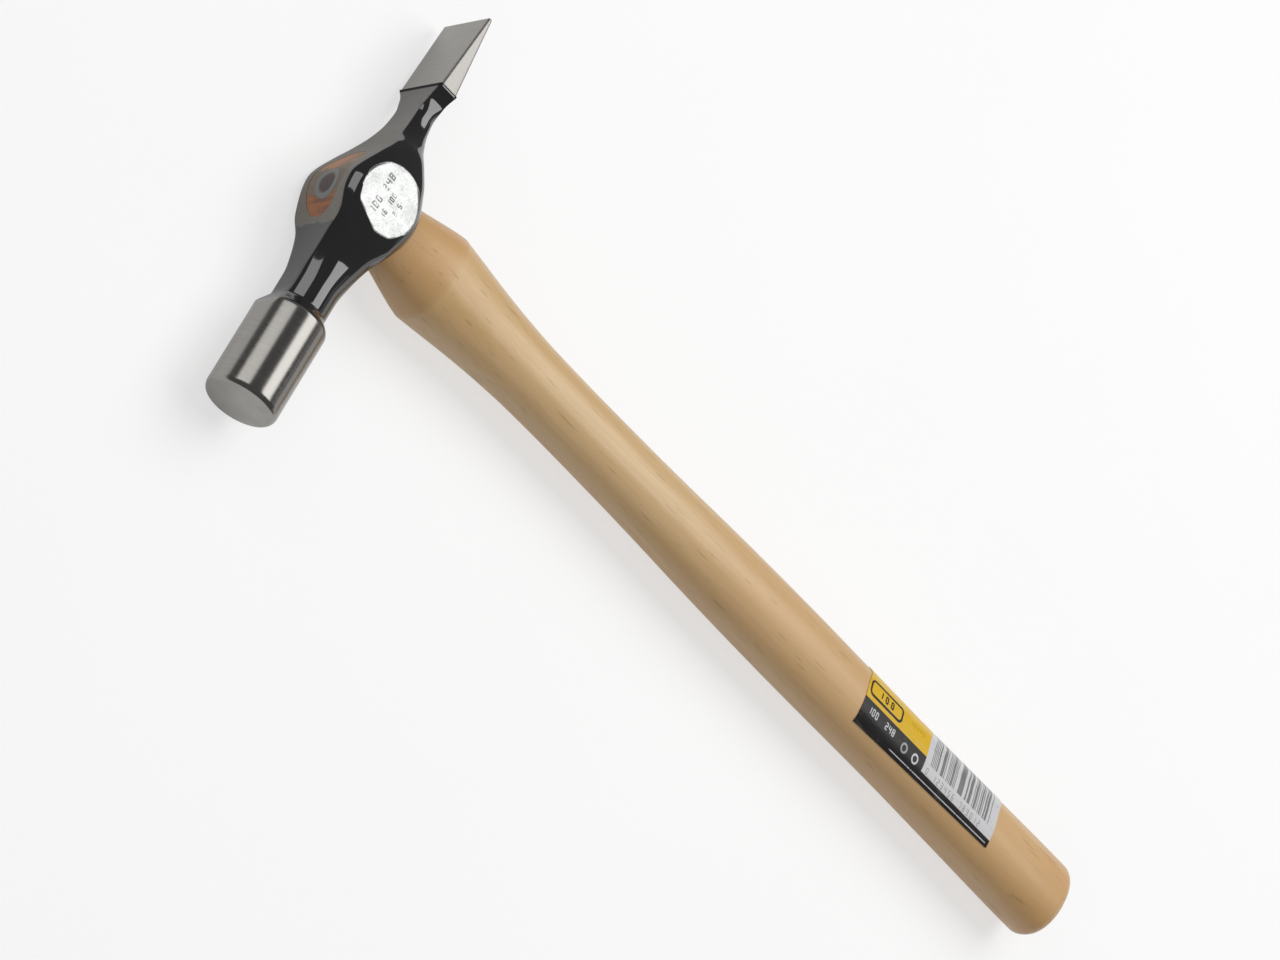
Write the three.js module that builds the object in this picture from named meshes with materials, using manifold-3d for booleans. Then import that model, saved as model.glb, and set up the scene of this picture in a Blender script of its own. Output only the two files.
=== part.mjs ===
// Cross peen hammer of the light pin hammer pattern: a forged steel head, a wooden handle driven
// through its oval eye, a steel ring wedge that spreads the wood, and a wrap label near the butt.
//
// Millimetres, +Z up. The hammer lies on one cheek. +X runs from the eye down the handle to the butt,
// the striking face looks along -Y and the peen along +Y. The origin is on the lower ground cheek
// face, straight below the crossing of the head's axis and the handle's axis.

import * as THREE from 'three';
import { mergeVertices } from 'three/addons/utils/BufferGeometryUtils.js';
import Module from 'manifold-3d';

const wasm = await Module();
wasm.setup();

// Head, measured from its own axis.
const CHEEK_HALF = 9.4; // from the head's axis to each ground cheek face
const POLL_RADIUS = 7.95;
const FACE_Y = -51.6; // striking face
const FACE_EASE = { along: 1.4, across: 0.9 }; // worn rounding of the face's rim
const SHOULDER_Y = -30.6; // end of the poll's full cylinder
const SHOULDER_DROP = 3.3; // length of the step from the poll down to the neck
const NECK_RADIUS = 6.05;
const LIP_Y = 29.9; // end of the lacquered lip, where the ground peen begins
const LIP_HALF_DEPTH = 2.45;
const PEEN_EDGE_Y = 48.7;
const PEEN_BASE = { halfDepth: 2.3, halfWidth: 6.85 };
const PEEN_EDGE = { halfDepth: 0.5, halfWidth: 7.4 };
const PEEN_SINK = 0.5; // how far the peen's root runs back into the lip
const LEAN_START_Y = 24; // from here the peen leans away from the handle
const LEAN_SLOPE = 0.03;
const CROWN_TOP = 9.9; // height of the crowned eye above the head's axis

// Handle, measured from the same crossing of the axes.
const BUTT_X = 237.9;
const BUTT_ROUNDING = 3.2;
const FLARE_START_X = 6.5; // inside the head's crowned underside, which trims the flare
const SWELL_X = 22.5;
const OVAL_RATIO = 0.82; // thickness through the cheeks over width along the head
const FIT_GAP = 0.3; // clearance between pieces that touch on the real hammer

// Ring wedge.
const RING = { outer: 3.55, inner: 2.35, depth: 9, y: -2.1, z: 0.6 };

// Label, wrapped round the handle. Angles are counted from +Y towards +Z.
const LABEL = { start: 162.9, end: 210.1, thickness: 0.3, fromAngle: -12, toAngle: 123 };

const AROUND_HEAD = 36; // facets round each solid
const AROUND_HANDLE = 32;
const AROUND_POLL = 48;
const AROUND_RING = 24;
const HEAD_STEPS = 40; // rings along the forging
const OUTLINE_STEPS = 64; // points along the crown's outline
const REACH = 30; // half size of cutting bodies, past every side of the head

// ---------------------------------------------------------------- shaping helpers

// A smooth curve through [position, value] pairs that never overshoots a value.
function curveThrough(pairs) {
  const rise = (i) => (pairs[i + 1][1] - pairs[i][1]) / (pairs[i + 1][0] - pairs[i][0]);
  const slopes = pairs.map((_, i) => {
    if (i === 0 || i === pairs.length - 1) return 0;
    const before = rise(i - 1);
    const after = rise(i);
    return before * after <= 0 ? 0 : (2 * before * after) / (before + after);
  });
  return (position) => {
    const last = pairs.length - 2;
    const found = pairs.findIndex((pair, i) => i <= last && position < pairs[i + 1][0]);
    const i = found < 0 ? last : found;
    const span = pairs[i + 1][0] - pairs[i][0];
    const t = THREE.MathUtils.clamp((position - pairs[i][0]) / span, 0, 1);
    const t2 = t * t;
    const t3 = t2 * t;
    return (
      (2 * t3 - 3 * t2 + 1) * pairs[i][1] +
      (t3 - 2 * t2 + t) * span * slopes[i] +
      (3 * t2 - 2 * t3) * pairs[i + 1][1] +
      (t3 - t2) * span * slopes[i + 1]
    );
  };
}

function evenSteps(from, to, count) {
  return Array.from({ length: count + 1 }, (_, i) => from + ((to - from) * i) / count);
}

// Points of a squared-off oval; power 2 is a plain ellipse and higher powers are squarer.
function oval(halfA, halfB, power, count) {
  return Array.from({ length: count }, (_, i) => {
    const angle = (2 * Math.PI * i) / count;
    const c = Math.cos(angle);
    const s = Math.sin(angle);
    const stretch = (Math.abs(c) ** power + Math.abs(s) ** power) ** (-1 / power);
    return [halfA * c * stretch, halfB * s * stretch];
  });
}

function rectangle(halfA, halfB) {
  return [[halfA, halfB], [-halfA, halfB], [-halfA, -halfB], [halfA, -halfB]];
}

// A closed skin over rings of equal point count, each end closed by a fan to its centre.
function loft(rings) {
  const count = rings[0].length;
  const positions = rings.flat().flatMap((p) => [p.x, p.y, p.z]);
  const indices = [];
  for (let r = 0; r < rings.length - 1; r += 1) {
    for (let i = 0; i < count; i += 1) {
      const next = (i + 1) % count;
      const a = r * count + i;
      const b = r * count + next;
      indices.push(a, b, a + count, b, b + count, a + count);
    }
  }
  [0, rings.length - 1].forEach((r) => {
    const centre = new THREE.Vector3();
    rings[r].forEach((p) => centre.addScaledVector(p, 1 / count));
    const middle = positions.length / 3;
    positions.push(centre.x, centre.y, centre.z);
    for (let i = 0; i < count; i += 1) {
      const a = r * count + i;
      const b = r * count + ((i + 1) % count);
      indices.push(...(r === 0 ? [middle, b, a] : [middle, a, b]));
    }
  });
  const geometry = new THREE.BufferGeometry();
  geometry.setAttribute('position', new THREE.Float32BufferAttribute(positions, 3));
  geometry.setIndex(indices);
  return geometry;
}

// Turns a closed geometry into a solid for joining and cutting, with its faces pointing out.
function solid(geometry) {
  const bare = geometry.clone();
  bare.deleteAttribute('normal');
  bare.deleteAttribute('uv');
  const merged = mergeVertices(bare, 1e-4);
  const points = merged.getAttribute('position').array;
  const corners = new Uint32Array(merged.getIndex().array);
  if (signedVolume(points, corners) < 0) {
    for (let i = 0; i < corners.length; i += 3) {
      [corners[i], corners[i + 1]] = [corners[i + 1], corners[i]];
    }
  }
  const vertProperties = new Float32Array(points);
  return new wasm.Manifold(new wasm.Mesh({ numProp: 3, vertProperties, triVerts: corners }));
}

function signedVolume(points, corners) {
  const corner = (i) => new THREE.Vector3().fromArray(points, corners[i] * 3);
  let volume = 0;
  for (let i = 0; i < corners.length; i += 3) {
    volume += corner(i).dot(corner(i + 1).cross(corner(i + 2))) / 6;
  }
  return volume;
}

function geometryOf(body) {
  const mesh = body.getMesh();
  const geometry = new THREE.BufferGeometry();
  geometry.setAttribute('position', new THREE.BufferAttribute(new Float32Array(mesh.vertProperties), 3));
  geometry.setIndex(new THREE.BufferAttribute(new Uint32Array(mesh.triVerts), 1));
  geometry.computeVertexNormals();
  return geometry;
}

// A flat outline of [x, y] points made into a slab that runs right through the head along Z.
function slabAlongZ(points) {
  const outline = new THREE.Shape(points.map(([x, y]) => new THREE.Vector2(x, y)));
  const slab = new THREE.ExtrudeGeometry(outline, { depth: 2 * REACH, bevelEnabled: false });
  slab.translate(0, 0, -REACH);
  return solid(slab);
}

// ---------------------------------------------------------------- head

// The forging before grinding: half depth (X), half width (Z) and squareness along the head.
const forgedDepth = curveThrough([
  [SHOULDER_Y, NECK_RADIUS], [-22, NECK_RADIUS], [-17.2, 6.75], [-12.5, 7.6], [-7.7, 9.25], [0, 10.75],
  [7.7, 8.5], [12.5, 6.15], [16.3, 4.7], [20.1, 3.75], [24, 3.4], [LIP_Y, 3.45],
]);
const forgedWidth = curveThrough([
  [SHOULDER_Y, NECK_RADIUS], [-22, NECK_RADIUS], [-17.2, 6.5], [-12.5, 7.7], [-7.7, 9.35], [0, 10.25],
  [7.7, 9.35], [12.5, 8.1], [16.3, 6.25], [20.1, 5.1], [24, 4.7], [26.8, 5], [28.3, 5.7],
  [LIP_Y, 7], [LIP_Y + 1.6, 7.9],
]);
const forgedPower = curveThrough([
  [SHOULDER_Y, 2], [-22, 2], [-12.5, 2.5], [-7.7, 3.4], [0, 3.6], [7.7, 3.4],
  [16.3, 2.5], [24, 2.4], [28.7, 7], [LIP_Y, 8],
]);
// Half depth after the top and the underside are ground to a smooth crowned outline. The same
// grinding runs out up the poll's shoulder and clears the poll itself.
const groundDepth = curveThrough([
  [FACE_Y, POLL_RADIUS + 1], [-34, POLL_RADIUS + 0.3], [-32.3, 7.85], [-31, 7.4], [-29.5, 6.6], [-28, 5.85],
  [-26.5, 5.4], [-23, 5.35], [-17.2, 5.7], [-12.5, 6.4], [-7.7, 7.8], [-2.9, 9.55], [0, CROWN_TOP],
  [2.9, 9.1], [7.7, 6.85], [12.5, 4.65], [16.3, 3.45], [20.1, 2.65], [24, 2.35], [27.4, 2.25],
  [28.7, 2.35], [LIP_Y, LIP_HALF_DEPTH],
]);

function lean(y) {
  return -LEAN_SLOPE * Math.max(0, y - LEAN_START_Y);
}

function crownLine(fromY, toY, steps) {
  return evenSteps(fromY, toY, steps).map((y) => [lean(y) - groundDepth(y), y]);
}

function undersideLine(fromY, toY, steps) {
  return evenSteps(fromY, toY, steps).map((y) => [lean(y) + groundDepth(y), y]);
}

function forgedBody() {
  const rings = evenSteps(SHOULDER_Y + 1, LIP_Y, HEAD_STEPS).map((y) =>
    oval(forgedDepth(y), forgedWidth(y), forgedPower(y), AROUND_HEAD).map(
      ([x, z]) => new THREE.Vector3(x + lean(y), y, z),
    ),
  );
  return solid(loft(rings));
}

// The poll is turned: a flat face with an eased rim, a cylinder, and a step down to the neck.
function poll() {
  const outline = new THREE.Path();
  const faceEdge = POLL_RADIUS - FACE_EASE.across;
  const rimY = FACE_Y + FACE_EASE.along;
  outline.moveTo(0, FACE_Y);
  outline.lineTo(faceEdge, FACE_Y);
  outline.absellipse(faceEdge, rimY, FACE_EASE.across, FACE_EASE.along, -Math.PI / 2, 0, false, 0);
  outline.lineTo(POLL_RADIUS, SHOULDER_Y);
  outline.quadraticCurveTo(POLL_RADIUS, SHOULDER_Y + 1, POLL_RADIUS - 0.7, SHOULDER_Y + 1.6);
  outline.lineTo(NECK_RADIUS - 0.9, SHOULDER_Y + SHOULDER_DROP + 0.8);
  outline.lineTo(0, SHOULDER_Y + SHOULDER_DROP + 0.8);
  return solid(new THREE.LatheGeometry(outline.getPoints(5), AROUND_POLL));
}

// The peen is a plain ground wedge whose edge lies across the head, parallel to the Z axis.
function peen() {
  const wedgeRing = (y, { halfDepth, halfWidth }) =>
    rectangle(halfDepth, halfWidth).map(([x, z]) => new THREE.Vector3(x + lean(y), y, z));
  return solid(loft([wedgeRing(LIP_Y - PEEN_SINK, PEEN_BASE), wedgeRing(PEEN_EDGE_Y, PEEN_EDGE)]));
}

const EYE_REACH = 13.5; // the eye's cutting body runs this far past the axis on both sides
// The eye narrows towards its middle and opens towards the top, so that the spread wood locks.
const eyeHalfLength = curveThrough([
  [-EYE_REACH, 9.9], [-8.6, 9.4], [-1, 8.25], [5.7, 8.05], [EYE_REACH, 8.4],
]);
const eyeHalfWidth = curveThrough([[-EYE_REACH, 5.45], [-8.6, 5.4], [-1, 5.1], [EYE_REACH, 5.2]]);
const EYE_POWER = 2.2;

function eyePlug(grow) {
  const rings = evenSteps(-EYE_REACH, EYE_REACH, 10).map((x) =>
    oval(eyeHalfLength(x) + grow, eyeHalfWidth(x) + grow, EYE_POWER, AROUND_HANDLE).map(
      ([y, z]) => new THREE.Vector3(x, y, z),
    ),
  );
  return solid(loft(rings));
}

function headGeometry() {
  const groundOutline = slabAlongZ([
    ...crownLine(FACE_Y - 1, LIP_Y + 1, OUTLINE_STEPS),
    ...undersideLine(FACE_Y - 1, LIP_Y + 1, OUTLINE_STEPS).reverse(),
  ]);
  const cheekGap = solid(new THREE.BoxGeometry(2 * REACH, 4 * REACH, 2 * CHEEK_HALF));
  const body = forgedBody().intersect(cheekGap).add(poll()).intersect(groundOutline);
  return geometryOf(body.add(peen()).subtract(eyePlug(0)));
}

// ---------------------------------------------------------------- handle

// Half width along the head: a straight flare from the head to a creased swell, then a long grip.
const handleHalfWidth = curveThrough([
  [FLARE_START_X, 8.1], [SWELL_X - 0.4, 10.75], [SWELL_X, 10.8], [SWELL_X + 0.8, 10.72], [28.5, 10.15],
  [36.8, 9.22], [45, 8.53], [55, 8.05], [67, 7.93], [84.3, 8.04], [99.6, 8.31], [114, 8.69],
  [128.4, 8.95], [145.6, 9.09], [180, 8.96], [202, 9.17], [231, 9.51], [BUTT_X, 9.51],
]);
// Half thickness through the cheeks: the flare starts thinner there than the grip's oval.
const flareThinning = curveThrough([[FLARE_START_X, 0.79], [15.3, 0.96], [SWELL_X, 1]]);
const GRIP_POWER = 2.15;

function gripRing(x, grow, count) {
  const toButt = Math.min(BUTT_X - x, BUTT_ROUNDING);
  const inset = BUTT_ROUNDING - Math.sqrt(toButt * (2 * BUTT_ROUNDING - toButt));
  const halfWidth = handleHalfWidth(x) - inset + grow;
  const halfThickness = handleHalfWidth(x) * OVAL_RATIO * flareThinning(x) - inset + grow;
  return oval(halfWidth, halfThickness, GRIP_POWER, count).map(([y, z]) => new THREE.Vector3(x, y, z));
}

function gripBody() {
  const roundedEnd = [0.7, 0.4, 0.17, 0.04, 0].map((part) => BUTT_X - BUTT_ROUNDING * part);
  const stations = [
    ...evenSteps(FLARE_START_X, SWELL_X - 0.4, 6), SWELL_X, SWELL_X + 0.8,
    ...evenSteps(25, 60, 8), ...evenSteps(70, BUTT_X - BUTT_ROUNDING, 14), ...roundedEnd,
  ];
  return solid(loft(stations.map((x) => gripRing(x, 0, AROUND_HANDLE))));
}

// Everything below the crowned top of the head, so that pieces in the eye end flush with it.
function belowCrown() {
  return slabAlongZ([...crownLine(-12, 12, 24), [2 * REACH, 12], [2 * REACH, -12]]);
}

// Everything clear of the head's crowned underside, so that the flare seats against it.
function belowHead() {
  const seat = undersideLine(-12, 12, 24).map(([x, y]) => [x + FIT_GAP, y]);
  return slabAlongZ([...seat, [BUTT_X + 1, 12], [BUTT_X + 1, -12]]);
}

function ringSolid(outer, inner, depth) {
  const top = CROWN_TOP + 1;
  const section = [[inner, 0], [outer, 0], [outer, depth + 1], [inner, depth + 1], [inner, 0]];
  const ring = new THREE.LatheGeometry(section.map(([r, d]) => new THREE.Vector2(r, d)), AROUND_RING);
  ring.rotateZ(-Math.PI / 2);
  ring.translate(-top, RING.y, RING.z);
  return solid(ring);
}

function handleGeometry() {
  const tongue = eyePlug(-FIT_GAP).intersect(belowCrown());
  const ringSeat = ringSolid(RING.outer + FIT_GAP, RING.inner - FIT_GAP, RING.depth + FIT_GAP);
  const grip = gripBody().intersect(belowHead());
  return geometryOf(grip.add(tongue).subtract(ringSeat));
}

// ---------------------------------------------------------------- ring wedge and label

function ringWedgeGeometry() {
  return geometryOf(ringSolid(RING.outer, RING.inner, RING.depth).intersect(belowCrown()));
}

function labelGeometry() {
  const stations = evenSteps(LABEL.start, LABEL.end, 3);
  const wrap = (grow) => solid(loft(stations.map((x) => gripRing(x, grow, 2 * AROUND_HANDLE))));
  const longer = [LABEL.start - 1, ...stations.slice(1, -1), LABEL.end + 1];
  const core = solid(loft(longer.map((x) => gripRing(x, FIT_GAP, 2 * AROUND_HANDLE))));
  const rays = evenSteps(LABEL.fromAngle, LABEL.toAngle, 3).map((degrees) => {
    const angle = THREE.MathUtils.degToRad(degrees);
    return new THREE.Vector2(REACH * Math.cos(angle), REACH * Math.sin(angle));
  });
  const sector = new THREE.ExtrudeGeometry(new THREE.Shape([new THREE.Vector2(0, 0), ...rays]), {
    depth: BUTT_X,
    bevelEnabled: false,
  });
  // The sector is drawn in the Y-Z plane and runs along X.
  const toHandle = new THREE.Matrix4().set(0, 0, 1, 0, 1, 0, 0, 0, 0, 1, 0, 0, 0, 0, 0, 1);
  sector.applyMatrix4(toHandle);
  return geometryOf(wrap(FIT_GAP + LABEL.thickness).subtract(core).intersect(solid(sector)));
}

// ---------------------------------------------------------------- assembly

function piece(name, geometry, color, roughness, metalness) {
  const mesh = new THREE.Mesh(geometry, new THREE.MeshStandardMaterial({ color, roughness, metalness }));
  mesh.name = name;
  return mesh;
}

const hammer = new THREE.Group();
hammer.position.z = CHEEK_HALF;
hammer.add(piece('head', headGeometry(), 0x2b2b2d, 0.3, 0.9));
hammer.add(piece('handle', handleGeometry(), 0xcda97a, 0.4, 0));
hammer.add(piece('ring_wedge', ringWedgeGeometry(), 0x7c8280, 0.45, 1));
hammer.add(piece('label', labelGeometry(), 0xd9b026, 0.35, 0));

export default hammer;
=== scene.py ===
"""Looks of the cross peen hammer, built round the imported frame.

The frame: metres, +X from the eye down the handle, -Y the striking face, +Y the peen, +Z up through the
cheeks, the hammer lying on its lower cheek at z = 0. Shapes are written in millimetres measured from
the head's axis, which is HEAD_AXIS_Z above the floor, and are turned into metres by to_mesh().
"""
import math

import bmesh
import bpy
import numpy as np
from mathutils import Matrix, Vector


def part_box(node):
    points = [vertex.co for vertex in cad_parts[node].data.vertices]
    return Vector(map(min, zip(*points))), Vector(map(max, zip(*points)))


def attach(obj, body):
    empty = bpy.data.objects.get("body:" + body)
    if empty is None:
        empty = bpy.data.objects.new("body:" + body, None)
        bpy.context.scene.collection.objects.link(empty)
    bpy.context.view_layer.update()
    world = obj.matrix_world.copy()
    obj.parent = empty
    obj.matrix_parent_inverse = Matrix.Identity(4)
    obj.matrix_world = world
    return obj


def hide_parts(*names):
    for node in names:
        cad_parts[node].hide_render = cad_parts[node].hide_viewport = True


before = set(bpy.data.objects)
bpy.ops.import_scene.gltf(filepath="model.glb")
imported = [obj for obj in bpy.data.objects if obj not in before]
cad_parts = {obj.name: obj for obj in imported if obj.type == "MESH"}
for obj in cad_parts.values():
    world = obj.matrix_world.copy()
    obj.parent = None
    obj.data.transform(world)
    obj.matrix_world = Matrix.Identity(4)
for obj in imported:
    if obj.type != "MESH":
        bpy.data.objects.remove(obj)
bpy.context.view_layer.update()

MM = 0.001
SMOOTH_ANGLE = 35  # sharper edges than this many degrees stay sharp
HEAD_AXIS_Z = (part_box("head")[0].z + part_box("head")[1].z) / 2 / MM
BUTT_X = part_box("handle")[1].x / MM
FACE_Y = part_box("head")[0].y / MM
PEEN_EDGE_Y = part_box("head")[1].y / MM
CHEEK_HALF = HEAD_AXIS_Z
CROWN_TOP = -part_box("handle")[0].x / MM

# Head.
POLL_RADIUS = 7.95
SHOULDER_DROP = 0.7  # the poll's back edge is rounded off by this much
SHOULDER_ROUNDING = 1.6  # over this length along the head
SHOULDER_SLOPE = 0.8  # and runs in at this slope until the neck takes over
RIM_ALONG = 1.4  # the striking face's eased rim, along and across the poll
RIM_ACROSS = 0.9
SHOULDER_Y = -30.6
NECK_RADIUS = 6.05
LIP_Y = 29.9
LEAN_START_Y = 24.0
LEAN_SLOPE = 0.03
GROUND_EDGE = 0.22  # width over which a ground face of the forging blends into its neighbour
CHEEK_EDGE = 0.12
PEEN_BASE = (2.3, 6.85)  # half depth and half width
PEEN_EDGE = (0.5, 7.4)
PEEN_EASE = (0.5, 0.42)  # rounding of the peen's long edges, at its root and at its tip
PEEN_TIP_EASE = 0.3  # rounding of its working edge
PEEN_OVERLAP = 0.5  # how far the peen's root reaches into the forging
BARE_START_Y = -10.6  # bare steel on the crown begins here, towards the poll
BARE_FADE_Y = (12.0, 26.0)  # and fades between these, towards the peen
DISC_CENTRE = (0.14, 0.35)  # ground disc on each cheek, in x and y
DISC_RADIUS = 7.55
DISC_CHORD = 6.8  # distance from the disc's centre to its straight edge
CHORD_WAY = (-0.414, -0.91)  # the way that the straight edge faces, in x and y
CHEEK_FALL = 0.3  # slope of the forging away from the disc
CHEEK_DROP = 2.1  # how far that slope may fall before the forging's own curve has taken over

# Handle.
BUTT_ROUNDING = 3.2
OVAL_RATIO = 0.82
FLARE_START_X = 6.5
SWELL_X = 22.5  # crest of the swell
SWELL_CREASE = 0.4  # the crease starts this far before the crest
GRIP_POWER = 2.15
EYE_POWER = 2.2
EYE_DEPTH = 13.5  # the eye's cutter reaches this far to either side of the head's axis
WOOD_GAP = 0.04
WOOD_SINK = 0.05  # how far the wood's end lies below the steel round it
CAP_X = -8.0  # the eye's outline here is laid on the crown for the wood's end
TONGUE_X = -4.0  # and the tongue's straight part starts here

# Ring wedge, its centre in y and z.
RING_OUTER = 3.55
RING_INNER = 2.35
RING_DEPTH = 9.0
RING_CENTRE = (-2.1, 0.6)
RING_EASE = 0.1  # rounding of its top edges
RING_SEAT_GAP = 0.03  # room left round it in the wood

# Label: x range, film thickness, its upper edge and its lower edge at either end, in degrees from +Y.
LABEL_START = 162.9
LABEL_END = 210.1
LABEL_FILM = 0.14
LABEL_LIFT = 0.02
LABEL_TOP = -12.0
LABEL_EDGE_START = 127.0
LABEL_EDGE_END = 119.0
LABEL_MM_PER_DEGREE = 0.145  # round the handle's middle


# ---------------------------------------------------------------- shaping helpers


def curve_through(pairs, easing=0.0):
    """A smooth function through (position, value) pairs, averaged over about easing on each side."""
    xs = np.array([p[0] for p in pairs], float)
    ys = np.array([p[1] for p in pairs], float)
    rises = np.diff(ys) / np.diff(xs)
    slopes = np.zeros(len(xs))
    for i in range(1, len(xs) - 1):
        before, after = rises[i - 1], rises[i]
        if before * after > 0:
            slopes[i] = 2 * before * after / (before + after)
    step = 0.05
    at = np.arange(xs[0], xs[-1] + step, step)
    i = np.clip(np.searchsorted(xs, at, side="right") - 1, 0, len(xs) - 2)
    span = xs[i + 1] - xs[i]
    t = np.clip((at - xs[i]) / span, 0, 1)
    t2, t3 = t * t, t * t * t
    values = (2 * t3 - 3 * t2 + 1) * ys[i] + (t3 - 2 * t2 + t) * span * slopes[i]
    values = values + (3 * t2 - 2 * t3) * ys[i + 1] + (t3 - t2) * span * slopes[i + 1]
    if easing:
        reach = int(3 * easing / step)
        weights = np.exp(-0.5 * (np.arange(-reach, reach + 1) * step / easing) ** 2)
        values = np.convolve(np.pad(values, reach, "edge"), weights / weights.sum(), "valid")
    return lambda position: np.interp(position, at, values)


def oval(half_a, half_b, power, count):
    """Points of a squared-off oval; power 2 is a plain ellipse and higher powers are squarer."""
    t = np.arange(count) * 2 * np.pi / count
    c, s = np.cos(t), np.sin(t)
    stretch = (np.abs(c) ** power + np.abs(s) ** power) ** (-1 / power)
    return np.stack([half_a * c * stretch, half_b * s * stretch], axis=1)


def soft_min(a, b, width):
    """The smaller of two arrays, with the corner between them rounded over the given width."""
    h = np.maximum(width - np.abs(a - b), 0) / width
    return np.minimum(a, b) - h * h * width / 4


def soft_max(a, b, width):
    return -soft_min(-a, -b, width)


def loft(rings, close_start=True, close_end=True):
    """Quads between rings of equal point count, with a flat face on each end that is asked for."""
    count = len(rings[0])
    points = np.concatenate(rings)
    faces = []
    for r in range(len(rings) - 1):
        for i in range(count):
            a, b = r * count + i, r * count + (i + 1) % count
            faces.append((a, b, b + count, a + count))
    if close_start:
        faces.append(tuple(range(count))[::-1])
    if close_end:
        faces.append(tuple(range((len(rings) - 1) * count, len(rings) * count)))
    return points, faces


def to_mesh(name, points, faces):
    """A mesh object in the frame's metres, with its faces pointing out."""
    scaled = (np.asarray(points, float) + [0, 0, HEAD_AXIS_Z]) * MM
    mesh = bpy.data.meshes.new(name)
    mesh.from_pydata(scaled.tolist(), [], faces)
    work = bmesh.new()
    work.from_mesh(mesh)
    bmesh.ops.recalc_face_normals(work, faces=work.faces)
    work.to_mesh(mesh)
    work.free()
    obj = bpy.data.objects.new(name, mesh)
    bpy.context.scene.collection.objects.link(obj)
    return obj


def combine(obj, other, operation):
    """Joins other to obj or cuts it away, applied to obj's own mesh. other is removed."""
    modifier = obj.modifiers.new("combine", "BOOLEAN")
    modifier.object = other
    modifier.operation = operation
    modifier.solver = "EXACT"
    graph = bpy.context.evaluated_depsgraph_get()
    result = bpy.data.meshes.new_from_object(obj.evaluated_get(graph))
    obj.modifiers.clear()
    old = obj.data
    obj.data = result
    result.name = obj.name
    bpy.data.meshes.remove(old)
    bpy.data.objects.remove(other)


def smooth_by_angle(obj, degrees):
    for polygon in obj.data.polygons:
        polygon.use_smooth = True
    work = bmesh.new()
    work.from_mesh(obj.data)
    limit = math.radians(degrees)
    for edge in work.edges:
        edge.smooth = len(edge.link_faces) != 2 or edge.calc_face_angle(0) < limit
    work.to_mesh(obj.data)
    work.free()


def add_attribute(obj, name, values):
    attribute = obj.data.attributes.new(name, "FLOAT", "POINT")
    attribute.data.foreach_set("value", np.asarray(values, np.float32))


def points_of(obj):
    """The vertices of obj in millimetres from the head's axis."""
    flat = np.empty(len(obj.data.vertices) * 3)
    obj.data.vertices.foreach_get("co", flat)
    return flat.reshape(-1, 3) / MM - [0, 0, HEAD_AXIS_Z]


def add_piece(obj, node, material):
    smooth_by_angle(obj, SMOOTH_ANGLE)
    obj.data.materials.append(material)
    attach(obj, "root")
    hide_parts(node)


# ---------------------------------------------------------------- head shape

FORGING_EASING = 0.7

forged_depth = curve_through([
    (SHOULDER_Y, NECK_RADIUS), (-22, NECK_RADIUS), (-17.2, 6.75), (-12.5, 7.6), (-7.7, 9.25), (0, 10.75),
    (7.7, 8.5), (12.5, 6.15), (16.3, 4.7), (20.1, 3.75), (24, 3.4), (LIP_Y, 3.45),
], FORGING_EASING)
forged_width = curve_through([
    (SHOULDER_Y, NECK_RADIUS), (-22, NECK_RADIUS), (-17.2, 6.5), (-12.5, 7.7), (-7.7, 9.35), (0, 10.25),
    (7.7, 9.35), (12.5, 8.1), (16.3, 6.25), (20.1, 5.1), (24, 4.7), (26.8, 5), (28.3, 5.7),
    (LIP_Y, 7), (LIP_Y + 1.6, 7.9),
], FORGING_EASING / 2)
forged_power = curve_through([
    (SHOULDER_Y, 2), (-22, 2), (-12.5, 2.5), (-7.7, 3.4), (0, 3.6), (7.7, 3.4),
    (16.3, 2.5), (24, 2.4), (28.7, 7), (LIP_Y, 8),
], FORGING_EASING)
ground_depth = curve_through([
    (FACE_Y, POLL_RADIUS + 1), (-34, POLL_RADIUS + 0.3), (-32.3, 7.85), (-31, 7.4), (-29.5, 6.6), (-28, 5.85),
    (-26.5, 5.4), (-23, 5.35), (-17.2, 5.7), (-12.5, 6.4), (-7.7, 7.8), (-2.9, 9.55), (0, CROWN_TOP),
    (2.9, 9.1), (7.7, 6.85), (12.5, 4.65), (16.3, 3.45), (20.1, 2.65), (24, 2.35), (27.4, 2.25),
    (28.7, 2.35), (LIP_Y, 2.45),
], FORGING_EASING)
eye_half_length = curve_through([
    (-EYE_DEPTH, 9.9), (-8.6, 9.4), (-1, 8.25), (5.7, 8.05), (EYE_DEPTH, 8.4),
])
eye_half_width = curve_through([(-EYE_DEPTH, 5.45), (-8.6, 5.4), (-1, 5.1), (EYE_DEPTH, 5.2)])

POLL_PROFILE_END = SHOULDER_Y + 4.1


def lean(y):
    return -LEAN_SLOPE * np.maximum(0.0, y - LEAN_START_Y)


def poll_radius(y):
    """Radius of the turned poll, falling away past its shoulder."""
    from_face = y - FACE_Y
    if from_face < RIM_ALONG:
        part = 1 - from_face / RIM_ALONG
        return POLL_RADIUS - RIM_ACROSS + RIM_ACROSS * math.sqrt(max(1 - part * part, 0))
    past = max(y - SHOULDER_Y, 0)
    if past < SHOULDER_ROUNDING:
        return POLL_RADIUS - SHOULDER_DROP * (past / SHOULDER_ROUNDING) ** 2
    return POLL_RADIUS - SHOULDER_DROP - SHOULDER_SLOPE * (past - SHOULDER_ROUNDING)


def past_disc(x, y):
    """How far a point of the cheek lies outside the ground disc."""
    dx, dy = x - DISC_CENTRE[0], y - DISC_CENTRE[1]
    past_chord = CHORD_WAY[0] * dx + CHORD_WAY[1] * dy - DISC_CHORD
    return np.maximum(np.maximum(np.hypot(dx, dy) - DISC_RADIUS, past_chord), 0)


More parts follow.
